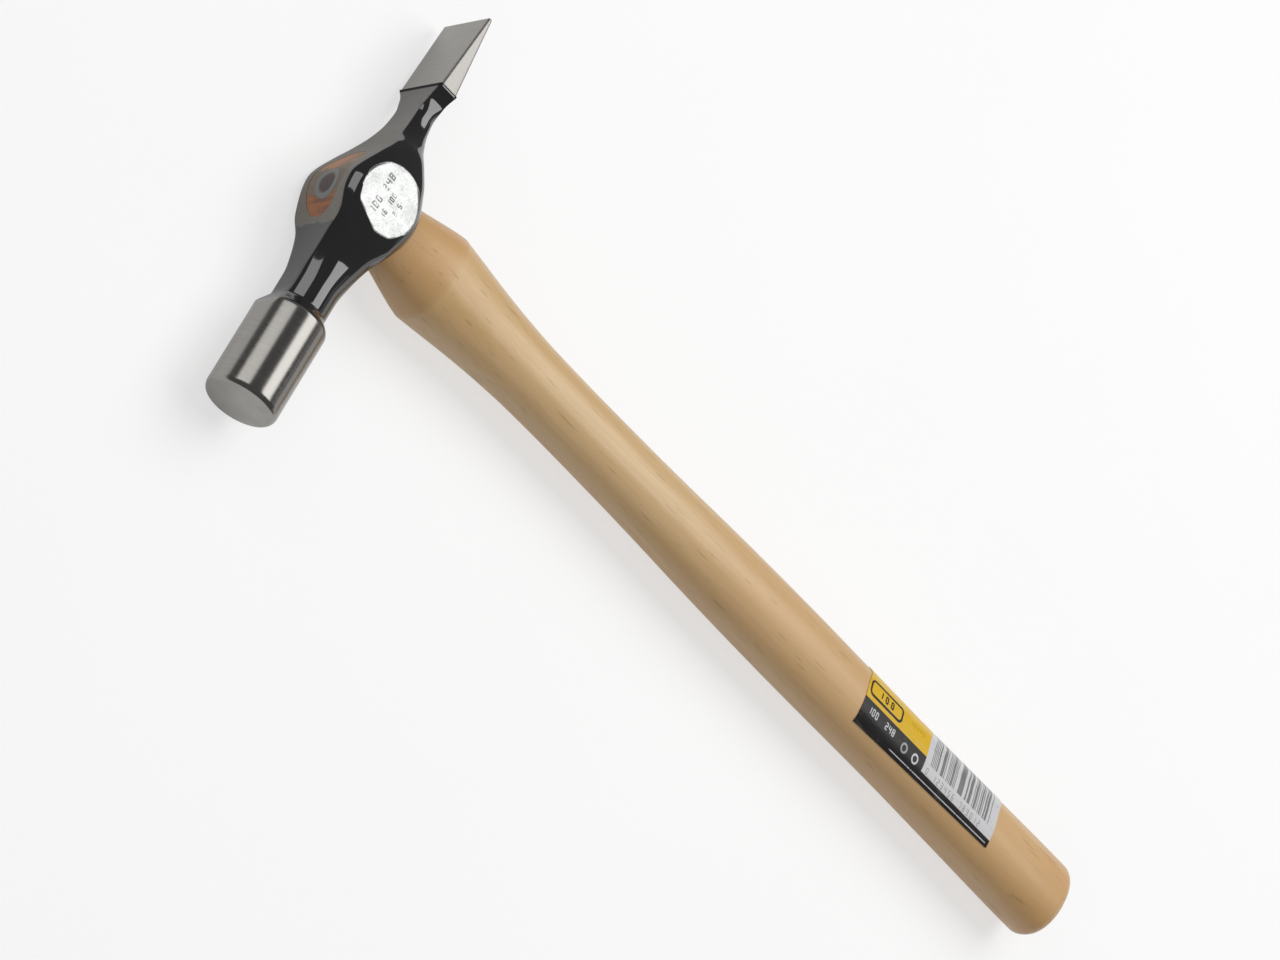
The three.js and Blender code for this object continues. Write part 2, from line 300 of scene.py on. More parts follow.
def cheek_limit(y, angle):
    """Distance from the head's axis to the cheek: flat on the disc and falling away round it."""
    s = np.maximum(np.abs(np.sin(angle)), 1e-6)
    limit = CHEEK_HALF / s
    for _ in range(3):
        fall = np.minimum(CHEEK_FALL * past_disc(limit * np.cos(angle), y), CHEEK_DROP)
        limit = (CHEEK_HALF - fall) / s
    return limit


def head_section(y, count):
    """Outline of the head at y: the turned poll or the forging, cut by the ground faces."""
    angle = np.arange(count) * 2 * np.pi / count
    c = np.maximum(np.abs(np.cos(angle)), 1e-6)
    s = np.maximum(np.abs(np.sin(angle)), 1e-6)
    radius = np.full(count, poll_radius(y))
    if y > SHOULDER_Y:
        power = forged_power(y)
        forging = ((c / forged_depth(y)) ** power + (s / forged_width(y)) ** power) ** (-1 / power)
        forging = soft_min(forging, cheek_limit(y, angle), CHEEK_EDGE)
        radius = soft_max(forging, radius, GROUND_EDGE) if y < POLL_PROFILE_END else forging
    radius = soft_min(radius, ground_depth(y) / c, GROUND_EDGE)
    x = radius * np.cos(angle) + lean(y)
    return np.stack([x, np.full(count, y), radius * np.sin(angle)], axis=1)


def face_rings(count):
    """Rings across the striking face, from near its centre to the start of its rim."""
    angle = np.arange(count) * 2 * np.pi / count
    return [
        np.stack([r * np.cos(angle), np.full(count, FACE_Y), r * np.sin(angle)], axis=1)
        for r in np.linspace(0.4, POLL_RADIUS - RIM_ACROSS - 0.2, 8)
    ]


def forged_body():
    """Poll, necks and eye in one skin, with closer stations where the outline turns fast."""
    around = 288
    rim = FACE_Y + RIM_ALONG * (1 - np.cos(np.linspace(0, np.pi / 2, 13)))
    barrel = np.linspace(FACE_Y + RIM_ALONG, SHOULDER_Y, 34)[1:]
    shoulder = np.linspace(SHOULDER_Y, POLL_PROFILE_END, 25)[1:]
    bulge = np.linspace(POLL_PROFILE_END, LIP_Y, 200)[1:]
    stations = np.concatenate([rim, barrel, shoulder, bulge])
    rings = face_rings(around) + [head_section(y, around) for y in stations]
    return to_mesh("hammer_head", *loft(rings))


def eased_rectangle(half_x, half_z, ease, y):
    """Outline at y of a rectangle whose corners are rounded by ease."""
    corners = []
    quarter = np.linspace(0, np.pi / 2, 8)
    for turn, (sx, sz) in enumerate([(1, 1), (-1, 1), (-1, -1), (1, -1)]):
        for a in quarter + turn * np.pi / 2:
            x = sx * (half_x - ease) + ease * math.cos(a)
            z = sz * (half_z - ease) + ease * math.sin(a)
            corners.append((x + lean(y), y, z))
    return np.array(corners)


def peen_wedge():
    """The ground wedge, its long edges rounded and its working edge eased off."""
    root_y = LIP_Y - PEEN_OVERLAP
    tip_start = PEEN_EDGE_Y - PEEN_TIP_EASE
    rings = []
    for t in np.linspace(0, 1, 30):
        y = root_y + (tip_start - root_y) * t
        depth, width, ease = (
            start + (end - start) * t
            for start, end in ((PEEN_BASE[0], PEEN_EDGE[0]), (PEEN_BASE[1], PEEN_EDGE[1]), PEEN_EASE)
        )
        rings.append(eased_rectangle(depth, width, ease, y))
    for a in np.linspace(0, np.pi / 2, 7)[1:]:
        inset = PEEN_TIP_EASE * (1 - math.cos(a))
        y = PEEN_EDGE_Y - PEEN_TIP_EASE * (1 - math.sin(a))
        rings.append(eased_rectangle(PEEN_EDGE[0] - inset, PEEN_EDGE[1] - inset, PEEN_EASE[1] - inset, y))
    return to_mesh("peen_wedge", *loft(rings))


def eye_cutter():
    """The waisted oval hole for the handle."""
    rings = [
        np.insert(oval(eye_half_length(x), eye_half_width(x), EYE_POWER, 160), 0, x, axis=1)
        for x in np.linspace(-EYE_DEPTH, EYE_DEPTH, 40)
    ]
    return to_mesh("eye_cutter", *loft(rings))


def build_head():
    head = forged_body()
    combine(head, peen_wedge(), "UNION")
    combine(head, eye_cutter(), "DIFFERENCE")
    points = points_of(head)
    across = np.abs(points[:, 0] - lean(points[:, 1]))
    add_attribute(head, "crown_drop", ground_depth(points[:, 1]) - across)
    return head


# ---------------------------------------------------------------- handle, ring wedge and label shapes

handle_half_width = curve_through([
    (FLARE_START_X, 8.1), (SWELL_X - SWELL_CREASE, 10.75), (SWELL_X, 10.8), (SWELL_X + 0.8, 10.72),
    (28.5, 10.15), (36.8, 9.22), (45, 8.53), (55, 8.05), (67, 7.93), (84.3, 8.04), (99.6, 8.31),
    (114, 8.69), (128.4, 8.95), (145.6, 9.09), (180, 8.96), (202, 9.17), (231, 9.51), (BUTT_X, 9.51),
])
flare_thinning = curve_through([(FLARE_START_X, 0.79), (15.3, 0.96), (SWELL_X, 1)])


def grip_ring(x, count):
    """Outline of the grip at x, which is one number or one for each point."""
    to_butt = np.minimum(BUTT_X - x, BUTT_ROUNDING)
    inset = BUTT_ROUNDING - np.sqrt(np.maximum(to_butt * (2 * BUTT_ROUNDING - to_butt), 0))
    half_width = handle_half_width(x) - inset
    half_thickness = handle_half_width(x) * OVAL_RATIO * flare_thinning(x) - inset
    outline = oval(half_width, half_thickness, GRIP_POWER, count)
    return np.column_stack([np.broadcast_to(x, count), outline])


def tongue_ring(x, scale, count):
    """Outline of the wood in the eye at x, drawn in towards its middle by scale."""
    ring = oval(eye_half_length(x) - WOOD_GAP, eye_half_width(x) - WOOD_GAP, EYE_POWER, count)
    return np.insert(ring * scale, 0, x, axis=1)


def on_crown(ring, sink):
    """The same outline laid on the head's crowned top, or sunk a little below it."""
    laid = ring.copy()
    laid[:, 0] = sink - ground_depth(ring[:, 1])
    return laid


def on_underside(ring):
    """The same outline laid just clear of the head's crowned underside."""
    laid = ring.copy()
    laid[:, 0] = ground_depth(ring[:, 1]) + WOOD_GAP
    return laid


def flare_start(count):
    """Where the flare's surface meets the head's crowned underside."""
    ring = grip_ring(8.0, count)
    for _ in range(12):
        ring = grip_ring(on_underside(ring)[:, 0], count)
    return ring


def handle_body():
    around = 192
    cap = [
        on_crown(tongue_ring(CAP_X, scale, around), WOOD_SINK) for scale in np.linspace(0.03, 1.0, 30)
    ]
    below = tongue_ring(TONGUE_X, 1.0, around)
    wall = [cap[-1] * (1 - t) + below * t for t in np.linspace(0, 1, 12)[1:]]
    tongue = [tongue_ring(x, 1.0, around) for x in np.linspace(TONGUE_X + 1, 5, 9)]
    seat = on_underside(tongue_ring(FLARE_START_X, 1.0, around))
    start = flare_start(around)
    crease_start = SWELL_X - SWELL_CREASE
    flare = [
        grip_ring(start[:, 0] * (1 - t) + crease_start * t, around) for t in np.linspace(0, 1, 50)
    ]
    crease = [grip_ring(x, around) for x in np.linspace(crease_start, SWELL_X + 1, 12)[1:]]
    grip = [grip_ring(x, around) for x in np.linspace(SWELL_X + 1, BUTT_X - BUTT_ROUNDING, 200)[1:]]
    butt = [
        grip_ring(BUTT_X - BUTT_ROUNDING * (1 - math.sin(a)), around)
        for a in np.linspace(0, math.pi / 2, 16)[1:]
    ]
    middle = np.array([BUTT_X, 0, 0])
    closing = [middle + (butt[-1] - middle) * scale for scale in np.linspace(1, 0.03, 12)[1:]]
    rings = cap + wall + tongue + [seat] + flare + crease + grip + butt + closing
    return to_mesh("hammer_handle", *loft(rings))


def ring_body(name, grow, rise, depth):
    """A round ring standing in the eye. grow thickens it both ways and rise lifts its top."""
    around = 128
    angle = np.arange(around) * 2 * np.pi / around

    def circle(radius):
        y = radius * np.cos(angle) + RING_CENTRE[0]
        z = radius * np.sin(angle) + RING_CENTRE[1]
        return np.stack([np.full(around, depth - CROWN_TOP), y, z], axis=1)

    outer, inner = RING_OUTER + grow, RING_INNER - grow
    tops = [on_crown(circle(r), -rise) for r in (inner, inner + RING_EASE, outer - RING_EASE, outer)]
    tops[0][:, 0] += RING_EASE / 2
    tops[-1][:, 0] += RING_EASE / 2
    rings = [circle(inner)] + tops + [circle(outer)]
    points, faces = loft(rings, False, False)
    last = (len(rings) - 1) * around
    for i in range(around):
        j = (i + 1) % around
        faces.append((last + i, last + j, j, i))
    return to_mesh(name, points, faces)


# The label is stuck on a little askew: its ends wander along the handle with the angle round it.
label_skew = curve_through([(LABEL_TOP, 0), (40, -0.25), (66, -1.05), (104, -0.2), (LABEL_EDGE_START, 0.4)])


def label_body():
    """A thin shell on the grip, with the place along and round the handle kept at each point."""
    along, across = 120, 150
    outer, inner, angles, stations = [], [], [], []
    for t in np.linspace(0, 1, along + 1):
        lower_edge = LABEL_EDGE_START + (LABEL_EDGE_END - LABEL_EDGE_START) * t
        degrees = np.linspace(LABEL_TOP, lower_edge, across + 1)
        flat_x = LABEL_START + (LABEL_END - LABEL_START) * t
        x = flat_x + label_skew(degrees)
        c, s = np.cos(np.radians(degrees)), np.sin(np.radians(degrees))
        stretch = (np.abs(c) ** GRIP_POWER + np.abs(s) ** GRIP_POWER) ** (-1 / GRIP_POWER)
        for grow, rows in ((LABEL_LIFT + LABEL_FILM, outer), (LABEL_LIFT, inner)):
            half_width = handle_half_width(x) + grow
            half_thickness = handle_half_width(x) * OVAL_RATIO + grow
            rows.append(np.stack([x, half_width * c * stretch, half_thickness * s * stretch], axis=1))
        angles.append(degrees)
        stations.append(np.full(across + 1, flat_x))
    points = np.concatenate(outer + inner)
    size, row = (along + 1) * (across + 1), across + 1
    faces = []
    for i in range(along):
        for j in range(across):
            a = i * row + j
            faces.append((a, a + 1, a + row + 1, a + row))
            faces.append((size + a, size + a + row, size + a + row + 1, size + a + 1))
    rim = [i * row for i in range(along + 1)]
    rim += [along * row + j for j in range(1, across + 1)]
    rim += [i * row + across for i in range(along - 1, -1, -1)]
    rim += [j for j in range(across - 1, 0, -1)]
    for a, b in zip(rim, rim[1:] + rim[:1]):
        faces.append((a, b, b + size, a + size))
    label = to_mesh("handle_label", points, faces)
    add_attribute(label, "angle", np.tile(np.concatenate(angles), 2))
    add_attribute(label, "along", np.tile(np.concatenate(stations), 2))
    return label


# ---------------------------------------------------------------- shader helpers


class Graph:
    """A material's node tree with short calls for the arithmetic that its masks need."""

    def __init__(self, name):
        self.material = bpy.data.materials.new(name)
        self.material.use_nodes = True
        self.tree = self.material.node_tree
        self.shader = self.tree.nodes["Principled BSDF"]
        coordinates = self.node("ShaderNodeTexCoord")
        self.place = self.vector("MULTIPLY", coordinates.outputs["Object"], (1 / MM, 1 / MM, 1 / MM))
        split = self.node("ShaderNodeSeparateXYZ")
        self.link(self.place, split.inputs[0])
        self.x, self.y, z = split.outputs
        self.z = self.math("SUBTRACT", z, HEAD_AXIS_Z)

    def node(self, kind):
        return self.tree.nodes.new(kind)

    def link(self, source, target):
        if isinstance(source, bpy.types.NodeSocket):
            self.tree.links.new(source, target)
        else:
            target.default_value = source

    def set(self, name, value):
        self.link(value, self.shader.inputs[name])

    def math(self, operation, a, b=0.0):
        made = self.node("ShaderNodeMath")
        made.operation = operation
        self.link(a, made.inputs[0])
        self.link(b, made.inputs[1])
        return made.outputs[0]

    def vector(self, operation, a, b):
        made = self.node("ShaderNodeVectorMath")
        made.operation = operation
        self.link(a, made.inputs[0])
        self.link(b, made.inputs[1])
        return made.outputs[0]

    def attribute(self, name):
        made = self.node("ShaderNodeAttribute")
        made.attribute_name = name
        return made.outputs["Fac"]

    def step(self, value, low, high, start=0.0, end=1.0):
        """value eased from start at low to end at high."""
        return self.remap(value, low, high, start, end, "SMOOTHSTEP")

    def remap(self, value, low, high, start=0.0, end=1.0, interpolation="LINEAR"):
        made = self.node("ShaderNodeMapRange")
        made.interpolation_type = interpolation
        sources = {"Value": value, "From Min": low, "From Max": high, "To Min": start, "To Max": end}
        for name, source in sources.items():
            self.link(source, made.inputs[name])
        return made.outputs["Result"]

    def distance(self, u, v, centre):
        du = self.math("SUBTRACT", u, centre[0])
        dv = self.math("SUBTRACT", v, centre[1])
        squares = self.math("ADD", self.math("MULTIPLY", du, du), self.math("MULTIPLY", dv, dv))
        return self.math("SQRT", squares)

    def mix(self, factor, a, b):
        """A colour between a and b. Sockets 6, 7 and output 2 are the Mix node's colour ones."""
        made = self.node("ShaderNodeMix")
        made.data_type = "RGBA"
        self.link(factor, made.inputs["Factor"])
        for value, socket in ((a, made.inputs[6]), (b, made.inputs[7])):
            self.link(value if isinstance(value, bpy.types.NodeSocket) else (*value, 1.0), socket)
        return made.outputs[2]

    def blend(self, factor, a, b):
        """A number between a and b, through the Mix node's number sockets."""
        made = self.node("ShaderNodeMix")
        self.link(factor, made.inputs["Factor"])
        self.link(a, made.inputs[2])
        self.link(b, made.inputs[3])
        return made.outputs[0]

    def noise(self, scale, stretch=(1, 1, 1), detail=3.0, shift=(0, 0, 0)):
        """Noise of scale cycles per millimetre, made longer along an axis by stretch."""
        at = self.vector("MULTIPLY", self.vector("ADD", self.place, shift), tuple(1 / s for s in stretch))
        made = self.node("ShaderNodeTexNoise")
        self.link(at, made.inputs["Vector"])
        made.inputs["Scale"].default_value = scale
        made.inputs["Detail"].default_value = detail
        return made.outputs["Fac"]

    def bump(self, height, distance):
        """Surface relief: height 0 to 1 stands for distance in millimetres."""
        made = self.node("ShaderNodeBump")
        made.inputs["Distance"].default_value = distance * MM
        self.link(height, made.inputs["Height"])
        self.link(made.outputs["Normal"], self.shader.inputs["Normal"])


# ---------------------------------------------------------------- shader masks


def any_of(g, masks):
    total = masks[0]
    for mask in masks[1:]:
        total = g.math("MAXIMUM", total, mask)
    return total


def all_of(g, masks):
    total = masks[0]
    for mask in masks[1:]:
        total = g.math("MULTIPLY", total, mask)
    return total


def past_sides(g, u, v, centre, half):
    """How far a point lies past a rectangle's sides in u and in v, negative between them."""
    return [
        g.math("SUBTRACT", g.math("ABSOLUTE", g.math("SUBTRACT", at, middle)), reach)
        for at, middle, reach in zip((u, v), centre, half)
    ]


def box_mask(g, u, v, centre, half, soft):
    """1 inside a rectangle of the u, v plane."""
    du, dv = past_sides(g, u, v, centre, half)
    return g.step(g.math("MAXIMUM", du, dv), soft, -soft)


def rounded_outline(g, u, v, centre, half, corner, line, soft):
    """1 on the border line of a rectangle with round corners."""
    du, dv = past_sides(g, u, v, centre, (half[0] - corner, half[1] - corner))
    outside = g.distance(g.math("MAXIMUM", du, 0.0), g.math("MAXIMUM", dv, 0.0), (0.0, 0.0))
    inside = g.math("MINIMUM", g.math("MAXIMUM", du, dv), 0.0)
    from_border = g.math("SUBTRACT", g.math("ADD", outside, inside), corner)
    return g.step(g.math("ABSOLUTE", from_border), line + soft, line - soft)


# Lit segments of each digit: top, upper right, lower right, bottom, lower left, upper left, middle.
SEGMENTS = {
    "0": "1111110", "1": "0110000", "2": "1101101", "3": "1111001", "4": "0110011",
    "5": "1011011", "6": "1011111", "7": "1110000", "8": "1111111", "9": "1111011",
}


def digit_masks(g, u, v, text, start, height, stroke, soft, pitch):
    """Plain numerals from straight strokes, running along +u with their tops towards +v.

    start is the first numeral's middle, and pitch is the step between numerals as a share of height.
    """
    masks = []
    half_h, half_w = height / 2, height * 0.24
    for place, digit in enumerate(text):
        if digit == " ":
            continue
        cu, cv = start[0] + height * pitch * place, start[1]
        strokes = [
            ((cu, cv + half_h), (half_w, stroke)), ((cu + half_w, cv + half_h / 2), (stroke, half_h / 2)),
            ((cu + half_w, cv - half_h / 2), (stroke, half_h / 2)), ((cu, cv - half_h), (half_w, stroke)),
            ((cu - half_w, cv - half_h / 2), (stroke, half_h / 2)),
            ((cu - half_w, cv + half_h / 2), (stroke, half_h / 2)), ((cu, cv), (half_w, stroke)),
        ]
        lit = SEGMENTS[digit]
        masks += [box_mask(g, u, v, c, h, soft) for (c, h), on in zip(strokes, lit) if on == "1"]
    return any_of(g, masks)


# ---------------------------------------------------------------- materials


def cheek_disc(g, ragged):
    """The ground disc on each cheek: round, with one straight and slightly ragged edge towards the poll."""
    from_centre = g.math("SUBTRACT", g.distance(g.x, g.y, DISC_CENTRE), DISC_RADIUS)
    along_x, along_y = (g.math("MULTIPLY", at, way) for at, way in zip((g.x, g.y), CHORD_WAY))
    toward_poll = g.math("ADD", along_x, along_y)
    offset = CHORD_WAY[0] * DISC_CENTRE[0] + CHORD_WAY[1] * DISC_CENTRE[1]
    past_chord = g.math("SUBTRACT", toward_poll, offset + DISC_CHORD)
    edge = g.math("MAXIMUM", from_centre, past_chord)
    edge = g.math("ADD", edge, g.remap(ragged, 0.3, 0.7, -0.16, 0.16))
    on_cheek = g.step(g.math("ABSOLUTE", g.z), CHEEK_HALF - 0.35, CHEEK_HALF - 0.25)
    return g.math("MULTIPLY", g.step(edge, 0.08, -0.08), on_cheek)


def cheek_marks(g, worn):
    """Stamped numerals on the ground disc, worn faint, in rows along the head."""
    u, v = g.y, g.math("MULTIPLY", g.x, -1.0)
    rows = [("100 248", (-4.3, 2.3), 1.45), ("16 100", (-3.6, -0.3), 1.05), ("3 5", (-1.4, -2.6), 1.05)]
    marks = any_of(g, [
        digit_masks(g, u, v, text, start, height, 0.1, 0.08, 1.0) for text, start, height in rows
    ])
    return g.math("MULTIPLY", marks, g.remap(worn, 0.35, 0.55, 0.45, 1.0))


def head_material():
    """Bright ground poll, cheek and peen, gloss black lacquer on the forging, bare steel round the eye."""
    g = Graph("forged_and_ground_steel")
    fine = g.noise(2.2, (1, 1, 1), 4)
    ragged = g.noise(0.45, (1, 1, 1), 3)
    crown = g.step(g.attribute("crown_drop"), 0.13, 0.05)
    past_poll = g.step(g.y, SHOULDER_Y + 0.2, SHOULDER_Y + 0.6)
    before_peen = g.step(g.y, LIP_Y + 0.06, LIP_Y - 0.02)
    forging = g.math("MULTIPLY", past_poll, before_peen)
    cheek = cheek_disc(g, ragged)

    start_line = g.math("ADD", g.y, g.remap(ragged, 0.3, 0.7, -0.3, 0.3))
    fade_line = g.math("ADD", g.y, g.remap(ragged, 0.3, 0.7, -1.2, 1.2))
    toward_poll = g.step(start_line, BARE_START_Y - 0.3, BARE_START_Y + 0.3)
    toward_peen = g.step(fade_line, BARE_FADE_Y[1], BARE_FADE_Y[0], 0.45, 1.0)
    before_lip = g.step(g.y, LIP_Y - 0.7, LIP_Y - 1.1)
    bare = all_of(g, [crown, toward_poll, toward_peen, before_lip, g.step(g.x, 1, -1)])
    steel = g.math("MAXIMUM", g.math("SUBTRACT", 1.0, forging), g.math("MAXIMUM", cheek, bare))

    # Grinding lines: round the poll, across the peen, along the cheek and the crown.
    turned = g.noise(3.0, (18, 0.35, 18), 2)
    linished = g.noise(4.0, (0.3, 0.3, 14), 3, shift=(7, 3, 1))
    lengthwise = g.noise(4.0, (0.35, 9, 0.35), 3, shift=(2, 9, 4))
    on_peen = g.step(g.y, LIP_Y - 0.05, LIP_Y)
    lines = g.blend(on_peen, g.blend(forging, turned, lengthwise), linished)

    bright = g.mix(g.remap(lines, 0.3, 0.7), (0.36, 0.345, 0.32), (0.43, 0.415, 0.395))
    warm = g.mix(fine, (0.20, 0.185, 0.165), (0.29, 0.27, 0.245))
    worn_disc = g.mix(g.step(fine, 0.5, 0.62), (0.58, 0.59, 0.58), (0.48, 0.49, 0.48))
    steel_colour = g.mix(bare, g.mix(cheek, bright, worn_disc), warm)
    marks = g.math("MULTIPLY", cheek_marks(g, ragged), cheek)
    steel_colour = g.mix(g.math("MULTIPLY", marks, 0.8), steel_colour, (0.14, 0.14, 0.14))
    lacquer = g.mix(fine, (0.004, 0.004, 0.005), (0.007, 0.007, 0.009))
    g.set("Base Color", g.mix(steel, lacquer, steel_colour))
    g.set("Metallic", steel)

    ground_rough = g.blend(on_peen, g.remap(lines, 0.3, 0.7, 0.15, 0.22), 0.3)
    ground_rough = g.blend(cheek, ground_rough, g.remap(ragged, 0.3, 0.7, 0.2, 0.34))
    steel_rough = g.blend(bare, ground_rough, 0.42)
    # A dull dark line across the crown and the underside at the lip.
    from_lip = g.math("ABSOLUTE", g.math("SUBTRACT", g.y, LIP_Y - 0.35))
    lip = all_of(g, [crown, g.step(from_lip, 0.45, 0.25)])
    lacquer_rough = g.blend(lip, g.blend(crown, 0.09, 0.24), 0.8)
    coat = g.blend(lip, g.blend(crown, 1.0, 0.6), 0.0)
    g.set("Roughness", g.blend(steel, lacquer_rough, steel_rough))
    g.set("Coat Weight", g.math("MULTIPLY", g.math("SUBTRACT", 1.0, steel), coat))
    g.set("Coat Roughness", 0.045)
    g.set("Coat IOR", 2.0)

    relief = g.math("MULTIPLY", lines, g.blend(steel, 0.05, 0.6))
    relief = g.math("SUBTRACT", relief, g.math("MULTIPLY", marks, 2.0))
    relief = g.math("SUBTRACT", relief, g.math("MULTIPLY", g.math("MAXIMUM", cheek, bare), 2.5))
    g.bump(relief, 0.015)
    return g.material


def end_grain_colour(g, streaks):
    """The spread wood in the eye: dark round the ring, red-brown towards the poll, tan to the peen."""
    from_ring = g.distance(g.y, g.z, RING_CENTRE)
    grime = g.noise(1.1, (1, 1.6, 1), 4, shift=(6, 1, 3))
    tan = g.mix(g.remap(grime, 0.35, 0.65), (0.30, 0.20, 0.13), (0.40, 0.27, 0.18))
    red = g.mix(g.remap(streaks, 0.4, 0.62), (0.42, 0.17, 0.075), (0.26, 0.11, 0.06))
    grey = g.mix(grime, (0.20, 0.16, 0.12), (0.27, 0.21, 0.15))
    wander = g.remap(grime, 0.3, 0.7, -1.0, 1.0)
    y = g.math("ADD", g.y, wander)
    colour = g.mix(g.step(y, -5.2, -3.6), red, grey)
    colour = g.mix(g.step(y, 1.2, 3.0), colour, g.mix(g.step(g.z, 1.2, 0.0), tan, (0.52, 0.26, 0.135)))
    core = g.step(from_ring, RING_INNER + 0.1, RING_INNER - 0.5)
    return g.mix(core, colour, g.mix(grime, (0.07, 0.055, 0.055), (0.13, 0.1, 0.095)))


def wood_material():
    """Pale clear-lacquered wood: soft growth bands, short dark pores along the grain, darker end grain."""
    g = Graph("lacquered_wood")
    drift = g.noise(0.02, (3, 1, 1), 2, shift=(11, 5, 2))
    bands = g.noise(0.2, (26, 1.0, 1.0), 3, shift=(3, 1, 8))
    fibre = g.noise(1.5, (30, 0.5, 0.5), 3)
    pores = g.noise(1.1, (9, 0.9, 0.9), 1, shift=(40, 0, 0))
    # Orange tint near the head and the butt. At the swell's crest it steps sharply darker on the flare's
    # side, painted shade that marks the crease.
    end_tint_and_flare_shade = any_of(g, [g.step(g.x, SWELL_X + 2.0, SWELL_X - 2.0), g.step(g.x, 205.0, 232.0)])

    pale, golden = (0.76, 0.535, 0.29), (0.665, 0.44, 0.205)
    colour = g.mix(g.remap(bands, 0.35, 0.66), pale, golden)
    colour = g.mix(g.remap(fibre, 0.35, 0.7, 0.0, 0.3), colour, (0.54, 0.35, 0.18))
    tint = g.math("MAXIMUM", g.remap(drift, 0.42, 0.62, 0.0, 0.4), g.math("MULTIPLY", end_tint_and_flare_shade, 0.55))
    colour = g.mix(tint, colour, (0.62, 0.335, 0.13))
    flecks = g.remap(pores, 0.66, 0.75, 0.0, 0.3)
    colour = g.mix(flecks, colour, (0.25, 0.14, 0.06))

    end_grain = g.step(g.x, -2.0, -5.0)
    streaks = g.noise(0.8, (1, 1, 4), 3, shift=(4, 2, 9))
    g.set("Base Color", g.mix(end_grain, colour, end_grain_colour(g, streaks)))
    g.set("Roughness", g.blend(end_grain, g.remap(fibre, 0.3, 0.7, 0.34, 0.46), 0.6))
    g.set("Coat Weight", g.blend(end_grain, 0.45, 0.08))
    g.set("Coat Roughness", 0.24)
    relief = g.math("SUBTRACT", g.math("MULTIPLY", fibre, 0.3), flecks)
    g.bump(relief, 0.04)
    return g.material


def wedge_material():
    """Dull steel with fine scratches along the head."""
    g = Graph("ground_ring_steel")
    fine = g.noise(2.5, (1, 1, 1), 4)
    scratches = g.noise(5.0, (0.3, 8, 0.3), 2)
    g.set("Base Color", g.mix(fine, (0.19, 0.205, 0.2), (0.28, 0.295, 0.285)))
    g.set("Metallic", 1.0)
    g.set("Roughness", g.remap(scratches, 0.3, 0.7, 0.36, 0.5))
    g.bump(scratches, 0.01)
    return g.material


YELLOW = (0.76, 0.47, 0.018)
INK = (0.018, 0.016, 0.016)
PAPER = (0.66, 0.655, 0.67)
STRIPES_START = 184.9  # the yellow field ends here and the striped one begins, in x
YELLOW_EDGE = 87.5  # lower edges of the yellow field and of the striped one, in degrees from +Y
STRIPES_EDGE = 108.5
STRIPES_PER_MM = 4.3


def label_material():
    """Printed film: yellow and black fields, plain stripes with numerals, and a round-cornered frame.

    Places on it are in millimetres: along the handle, and round it from +Y with tops towards +Y.
    """
    g = Graph("printed_film")
    u, degrees = g.attribute("along"), g.attribute("angle")
    v = g.math("MULTIPLY", degrees, -LABEL_MM_PER_DEGREE)
    soft = 0.05

    field = g.mix(g.step(degrees, YELLOW_EDGE - 0.5, YELLOW_EDGE + 0.5), YELLOW, INK)
    paper = g.mix(g.step(degrees, STRIPES_EDGE - 0.5, STRIPES_EDGE + 0.5), PAPER, INK)
    colour = g.mix(g.step(u, STRIPES_START - 0.1, STRIPES_START + 0.1), field, paper)
    printed = any_of(g, [
        rounded_outline(g, u, v, (169.3, -9.9), (5.5, 1.65), 1.0, 0.28, soft),
        digit_masks(g, u, v, "100", (167.3, -9.9), 1.4, 0.19, soft, 1.4),
    ])
    colour = g.mix(printed, colour, INK)
    small = digit_masks(g, u, v, "12345", (178.2, -9.2), 0.8, 0.06, soft, 1.3)
    colour = g.mix(g.math("MULTIPLY", small, 0.5), colour, INK)
    colour = g.mix(digit_masks(g, u, v, "100  248", (165.4, -14.3), 1.25, 0.12, soft, 0.95), colour, PAPER)
    colour = g.mix(label_trim(g, u, v, soft), colour, PAPER)
    colour = g.mix(g.math("MULTIPLY", label_bars(g, u, v, soft), 0.7), colour, INK)

    wear = g.noise(0.8, (4, 1, 1), 4, shift=(5, 5, 5))
    g.set("Base Color", g.mix(g.remap(wear, 0.6, 0.8, 0.0, 0.15), colour, (0.5, 0.45, 0.4)))
    g.set("Roughness", g.remap(wear, 0.3, 0.7, 0.26, 0.36))
    g.set("Coat Weight", 0.25)
    g.set("Coat Roughness", 0.15)
    g.bump(wear, 0.01)
    return g.material


def label_bars(g, u, v, soft):
    """Plain stripes of uneven width, with a row of numerals under them."""
    stripes = g.node("ShaderNodeTexWhiteNoise")
    stripes.noise_dimensions = "1D"
    g.link(g.math("FLOOR", g.math("MULTIPLY", u, STRIPES_PER_MM)), stripes.inputs["W"])
    striped = g.step(stripes.outputs["Value"], 0.42, 0.44)
    long_bars = box_mask(g, u, v, (197.3, -5.8), (10.6, 7.7), soft)
    digits = digit_masks(g, u, v, "0 123456 789012", (186.4, -14.9), 1.1, 0.08, soft, 1.22)
    return g.math("MAXIMUM", g.math("MULTIPLY", striped, long_bars), g.math("MULTIPLY", digits, 0.85))


def label_trim(g, u, v, soft):
    """Two small rings and a row of ticks along the label's lower edge."""
    rings = []
    for centre, ink in ((178.1, 0.6), (182.0, 1.0)):
        from_line = g.math("ABSOLUTE", g.math("SUBTRACT", g.distance(u, v, (centre, -14.9)), 0.85))
        rings.append(g.step(from_line, 0.2 + soft, 0.2 - soft, 0.0, ink))
    sloping = g.math("SUBTRACT", v, g.math("MULTIPLY", g.math("SUBTRACT", u, 174.6), 0.0167))
    row = box_mask(g, u, sloping, (191.9, -17.25), (17.3, 0.1), soft)
    ticks = g.step(g.noise(2.4, (1, 60, 60), 1), 0.3, 0.42, 0.35, 1.0)
    return any_of(g, rings + [g.math("MULTIPLY", row, ticks)])


